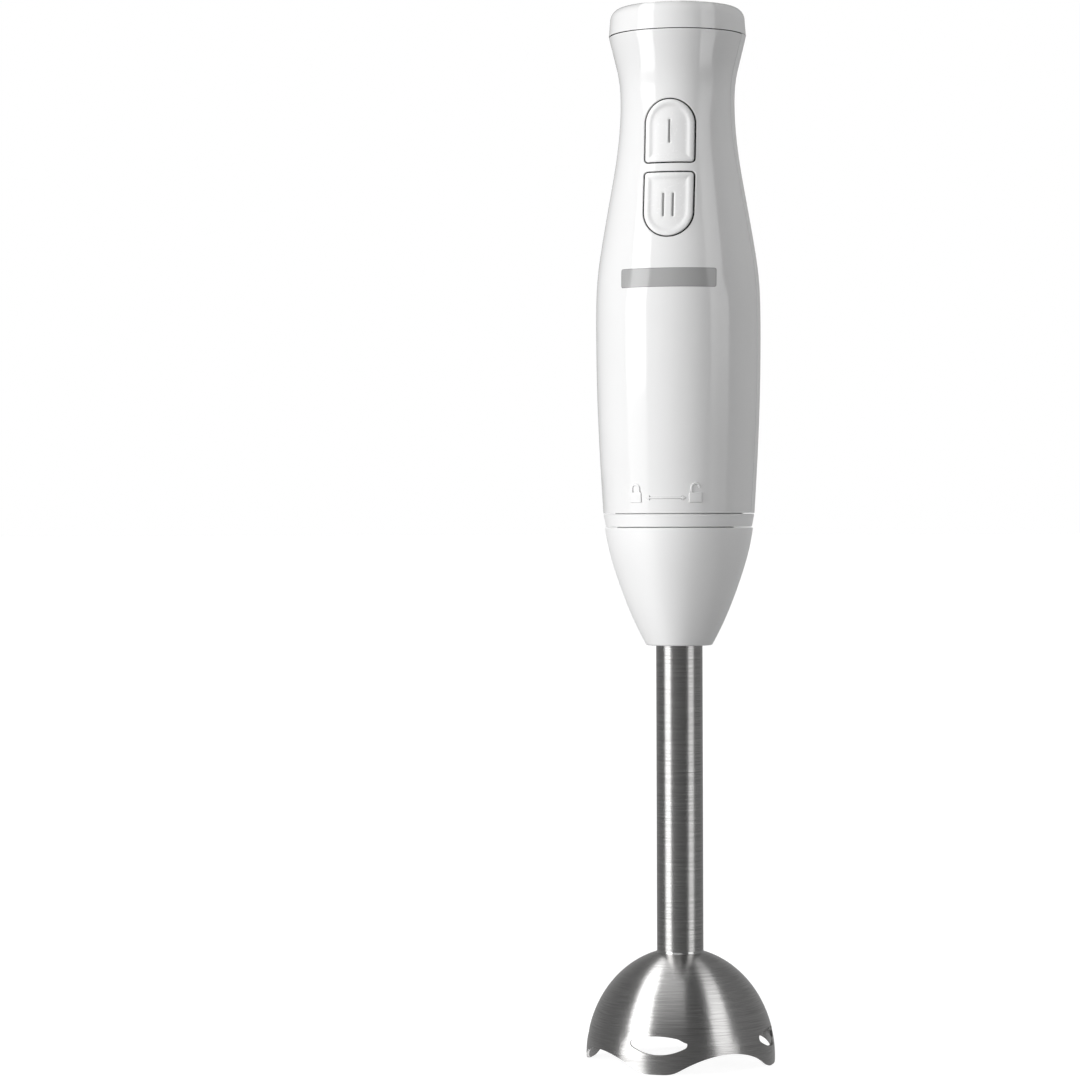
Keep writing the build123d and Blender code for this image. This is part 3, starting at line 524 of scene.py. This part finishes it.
# ================================================================ buttons
def key_ring(button, inset, proud):
    """The outline of a push button, moved in by inset, on a skin proud of the handle's."""
    half_width, low, high, arch_on_top = button
    arch, corner_points, runs = 44, 8, 14
    half = half_width - inset
    centre = high - half_width if arch_on_top else low + half_width
    flat_end = low + inset if arch_on_top else high - inset
    way = 1 if arch_on_top else -1
    corner = max(KEY_CORNER - inset, SMALLEST_CORNER)
    loop = [(half * cos(pi * i / arch), centre + way * half * sin(pi * i / arch)) for i in range(arch + 1)]
    side = abs(centre - flat_end) - corner
    loop += [(-half, centre - way * side * i / runs) for i in range(1, runs + 1)]
    for i in range(1, corner_points + 1):
        turn_angle = pi / 2 * i / corner_points
        loop.append((-half + corner * (1 - cos(turn_angle)), flat_end + way * corner * (1 - sin(turn_angle))))
    flat = 2 * (half - corner)
    loop += [(-half + corner + flat * i / runs, flat_end) for i in range(1, runs + 1)]
    for i in range(1, corner_points + 1):
        turn_angle = pi / 2 * i / corner_points
        loop.append((half - corner * (1 - sin(turn_angle)), flat_end + way * corner * (1 - cos(turn_angle))))
    loop += [(half, flat_end + way * (corner + side * i / runs)) for i in range(1, runs)]
    return loop, [on_skin(x, z, proud) for x, z in loop]


def on_skin(x, z, proud):
    """The point in front of the handle's skin at x, z."""
    return (x, -sqrt((skin_radius(z) + proud) ** 2 - x * x), z)


def capsule(x, low, high, half):
    """A slim upright loop with round ends."""
    turns = 8
    round_end = [(half * cos(pi * i / turns), half * sin(pi * i / turns)) for i in range(turns + 1)]
    loop = [(x + across, high - half + up) for across, up in round_end]
    loop += [(x - across, low + half - up) for across, up in round_end]
    return loop


KEY_CORNER = 1.1
SMALLEST_CORNER = 0.25
FLANGE = 1.5                # how far the flange under the skin stands out all round
# (inset, height over the handle's skin) from the flange under the skin up to the dished face
KEY_SECTION = [(-FLANGE, -3.8), (-FLANGE, -2.6), (0, -2.6), (0, -1.2), (0, 0.1), (0.05, 0.28),
               (0.18, 0.42), (0.4, 0.5), (0.8, 0.53), (1.3, 0.5), (1.7, 0.4), (2.05, 0.24),
               (2.4, 0.1), (2.8, 0.02), (3.3, -0.02)]
GROOVE_DEPTH = 0.3
GROOVE_HALF = 0.42
GROOVE_SLOPE = 0.14         # width of each of the two slopes down into a groove
GROOVE_LIP = 0.08           # depth between them
MARK_LENGTH = 8.5
MARK_GAP = 0.1              # between a speed mark's paint and its groove's mouth
PAINT_TOP, PAINT_ROOT = -0.06, 0.1  # the paint's two sides, as depths beyond the groove's own
FACE_GRID = (0.7, 0.35)     # spacing of the points inside a button's face, and their distance from outlines
BACK_GRID = (1.2, 0.6)      # the same for its back
POST_RADIUS = 2.2
POST_CHAMFER = 0.3
POST_START = -3.5           # the post's hidden end, from the handle's skin
POST_STEPS = 32
# for each button: whether its round end is on top, its speed marks, and their middle's height over its own
KEYS = {"high": (True, (0.0,), -0.15), "low": (False, (-1.7, 1.7), -0.2)}


def groove_depth(x, z, marks, low, high):
    """How deep a button's face is sunk, by a point's distance from the nearest speed mark's middle line."""
    along = max(low + GROOVE_HALF - z, z - high + GROOVE_HALF, 0.0)
    away = min(hypot(x - mark, along) for mark in marks)
    bed, mouth, lip = (GROOVE_HALF + GROOVE_SLOPE * step for step in (-1, 0, 1))
    return float(np.interp(away, (bed, mouth, lip), (GROOVE_DEPTH, GROOVE_LIP, 0.0)))


def button_face(name, arch_on_top, marks, mark_offset):
    """A push button with a raised rim, a shallow dish and its speed marks sunk in it."""
    cad_low, cad_high = (Vector(corner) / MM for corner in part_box(name))
    button = (cad_high.x - FLANGE, cad_low.z + FLANGE, cad_high.z - FLANGE, arch_on_top)
    middle = (cad_low.z + cad_high.z) / 2
    rings = [key_ring(button, inset, proud) for inset, proud in KEY_SECTION]
    shell = bridged([ring for _, ring in rings])
    low = middle + mark_offset - MARK_LENGTH / 2
    high = low + MARK_LENGTH
    edges = []
    for grow in (GROOVE_SLOPE, 0.0, -GROOVE_SLOPE):
        edges += [capsule(x, low - grow, high + grow, GROOVE_HALF + grow) for x in marks]
    flat, faces = filled(rings[-1][0], edges, *FACE_GRID)
    rest = KEY_SECTION[-1][1]
    top = [on_skin(x, z, rest - groove_depth(x, z, marks, low, high)) for x, z in flat]
    back_flat, back_faces = filled(rings[0][0], (), *BACK_GRID)
    back = [on_skin(x, z, KEY_SECTION[0][1]) for x, z in back_flat]
    post_end = first_hit(skin_of(name), 0.0, middle)
    post_start = on_skin(0, middle, POST_START)[1]
    post = []
    for y, r in ((post_start, 0.01), (post_start, POST_RADIUS), (post_end - POST_CHAMFER, POST_RADIUS),
                 (post_end, POST_RADIUS - POST_CHAMFER), (post_end, 0.01)):
        angles = [2 * pi * i / POST_STEPS for i in range(POST_STEPS)]
        post.append([(r * cos(angle), y, middle + r * sin(angle)) for angle in angles])
    points, faces = joined(shell, (top, faces), (back, back_faces), bridged(post))
    made = piece(f"{name}_cap", points, faces, "button_plastic", name, 40.0)
    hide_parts(name)
    for number, x in enumerate(marks):
        loop = capsule(x, low + MARK_GAP, high - MARK_GAP, GROOVE_HALF - MARK_GAP)
        lid, lid_faces = filled(loop)
        depths = (GROOVE_DEPTH + PAINT_ROOT, GROOVE_DEPTH + PAINT_TOP)
        sides = bridged([[on_skin(a, b, rest - depth) for a, b in loop] for depth in depths])
        lids = [([on_skin(a, b, rest - depth) for a, b in lid], lid_faces) for depth in depths]
        piece(f"{name}_mark_{number + 1}", *joined(sides, *lids), "mark_grey", name)


for key, details in KEYS.items():
    button_face(f"button_{key}", *details)


# ================================================================ marks moulded on the housing
MARK_HEIGHT = 0.36
MARK_ROOT = -0.15
MARK_SIDE = 0.45            # share of the height up to which a mark's sides are straight
MARK_EDGE = [(0.04, 0.78), (0.09, 0.95), (0.16, 1.0)]   # (inset, share of the height) of its round edge
MARK_GRID = (0.5, 0.2)      # spacing of the points inside its top, and their distance from its outline
LOCK_WIDTH = 4.6
LOCK_BODY = (198.2, 201.8)
LOCK_CORNER = 0.35
SHACKLE_HALF = 1.45         # to the middle of the shackle's bar
SHACKLE_BAR = 0.38          # half its thickness
SHACKLE_RISE = 3.1
SHACKLE_LIFT = 0.35         # how much higher an open one stands


def wrapped(loop, centre, proud):
    """A flat loop laid on the handle's skin, its x measured round the skin from an angle off the front."""
    points = []
    for x, z in loop:
        radius = skin_radius(z)
        angle = FRONT + radians(centre) + x / radius
        points.append(((radius + proud) * cos(angle), (radius + proud) * sin(angle), z))
    return points


def raised(loop, centre):
    """A closed flat shape standing on the handle's skin with softened edges."""
    rings = [wrapped(loop, centre, MARK_ROOT), wrapped(loop, centre, MARK_HEIGHT * MARK_SIDE)]
    for inset, share in MARK_EDGE:
        shrunk = shrink(loop, inset)
        rings.append(wrapped(shrunk, centre, MARK_HEIGHT * share))
    top_flat, top_faces = filled(shrunk, (), *MARK_GRID)
    back_flat, back_faces = filled(loop)
    return joined(bridged(rings), (wrapped(top_flat, centre, MARK_HEIGHT), top_faces),
                  (wrapped(back_flat, centre, MARK_ROOT), back_faces))


def shrink(loop, amount):
    """A counter-clockwise loop moved in by a small amount."""
    moved = []
    for i, point in enumerate(loop):
        before, after = Vector(loop[i - 1]), Vector(loop[(i + 1) % len(loop)])
        here = Vector(point)
        one = (here - before).normalized()
        two = (after - here).normalized()
        normal = Vector((-one.y - two.y, one.x + two.x))
        normal = normal.normalized() * amount / max(0.5, sqrt(max(0.0, (1 + one.dot(two)) / 2)))
        moved.append(tuple(here + normal))
    return moved


def round_box(low_x, high_x, low_z, high_z, radius):
    """A counter-clockwise rectangle with round corners."""
    loop = []
    for x, z, start in ((high_x - radius, low_z + radius, -pi / 2), (high_x - radius, high_z - radius, 0),
                        (low_x + radius, high_z - radius, pi / 2), (low_x + radius, low_z + radius, pi)):
        angles = [start + pi / 8 * i for i in range(5)]
        loop += [(x + radius * cos(angle), z + radius * sin(angle)) for angle in angles]
    return loop


def shackle(open_leg):
    """A padlock's bow as a counter-clockwise loop; an open one's right leg stops short."""
    root = LOCK_BODY[1] - 0.3
    spring = LOCK_BODY[1] + SHACKLE_RISE - SHACKLE_HALF - SHACKLE_BAR + (SHACKLE_LIFT if open_leg else 0)
    right_end = spring - 0.1 if open_leg else root
    outer, inner = SHACKLE_HALF + SHACKLE_BAR, SHACKLE_HALF - SHACKLE_BAR
    loop = [(inner, right_end), (outer, right_end)]
    loop += [(outer * cos(pi * i / 16), spring + outer * sin(pi * i / 16)) for i in range(17)]
    loop += [(-outer, root), (-inner, root)]
    loop += [(-inner * cos(pi * i / 16), spring + inner * sin(pi * i / 16)) for i in range(17)]
    return loop


def padlock(name, centre, open_leg):
    """A padlock mark on the handle, centre degrees round from its front."""
    body = round_box(-LOCK_WIDTH / 2, LOCK_WIDTH / 2, *LOCK_BODY, LOCK_CORNER)
    both = joined(raised(body, centre), raised(shackle(open_leg), centre))
    piece(name, *both, "handle_plastic", "motor_unit")


padlock("mark_locked", -25.5, False)
padlock("mark_open", 20.4, True)

ARROW_ENDS = (-17.1, 13.4)  # degrees round from the handle's front
ARROW_HEIGHT = 199.85
ARROW_BAR = 0.3             # half its thickness
ARROW_HEAD = (1.5, 0.85)    # length, and half its breadth
ARROW_STEPS = 16
arrow_half = radians(ARROW_ENDS[1] - ARROW_ENDS[0]) / 2 * skin_radius(ARROW_HEIGHT)
neck = arrow_half - ARROW_HEAD[0]
right_half = [(neck, -ARROW_BAR), (neck, -ARROW_HEAD[1]), (arrow_half, 0), (neck, ARROW_HEAD[1]),
              (neck, ARROW_BAR)]
bar = [neck * (1 - 2 * i / ARROW_STEPS) for i in range(1, ARROW_STEPS)]
arrow = right_half + [(x, ARROW_BAR) for x in bar] + [(-x, -z) for x, z in right_half]
arrow += [(-x, -ARROW_BAR) for x in bar]
arrow = [(x, z + ARROW_HEIGHT) for x, z in arrow]
piece("mark_arrow", *raised(arrow, sum(ARROW_ENDS) / 2), "handle_plastic", "motor_unit")


# ================================================================ weld between tube and bell
tube_low, tube_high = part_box("shaft_tube")
TUBE = tube_high[0] / MM
WELD = tube_low[2] / MM
bead = [(TUBE - 0.3, WELD + 0.5), (TUBE + 0.02, WELD + 0.5), (TUBE + 0.1, WELD + 0.2),
        (TUBE + 0.35, WELD - 0.05), (TUBE + 0.9, WELD - 0.42), (TUBE + 0.9, WELD - 0.75),
        (TUBE - 0.3, WELD - 0.75)]
piece("bell_weld", *lathed(bead), "shaft_steel", "foot")


# ================================================================ floor
FLOOR_HALF = 30.0
FLOOR_HEIGHT = -0.00002
FLOOR_GLOW = 0.9            # keeps the floor as pale as the backdrop, shadows included
corners = [(-1, -1), (1, -1), (1, 1), (-1, 1)]
floor_mesh = bpy.data.meshes.new("floor")
spots = [(x * FLOOR_HALF, y * FLOOR_HALF, FLOOR_HEIGHT) for x, y in corners]
floor_mesh.from_pydata(spots, [], [(0, 1, 2, 3)])
floor = bpy.data.objects.new("floor", floor_mesh)
floor_material, floor_shader, floor_tree = principled("floor_paint")
paint = between(floor_tree, grain(floor_tree, 30.0), (0.28, 0.28, 0.28), (0.32, 0.32, 0.32))
floor_tree.links.new(paint, floor_shader.inputs["Base Color"])
floor_shader.inputs["Roughness"].default_value = 1.0
floor_shader.inputs["Specular IOR Level"].default_value = 0.0
floor_shader.inputs["Emission Color"].default_value = (1, 1, 1, 1)
floor_shader.inputs["Emission Strength"].default_value = FLOOR_GLOW
floor_mesh.materials.append(floor_material)
scene.collection.objects.link(floor)
floor.visible_glossy = False
floor.visible_diffuse = False
floor.visible_shadow = False
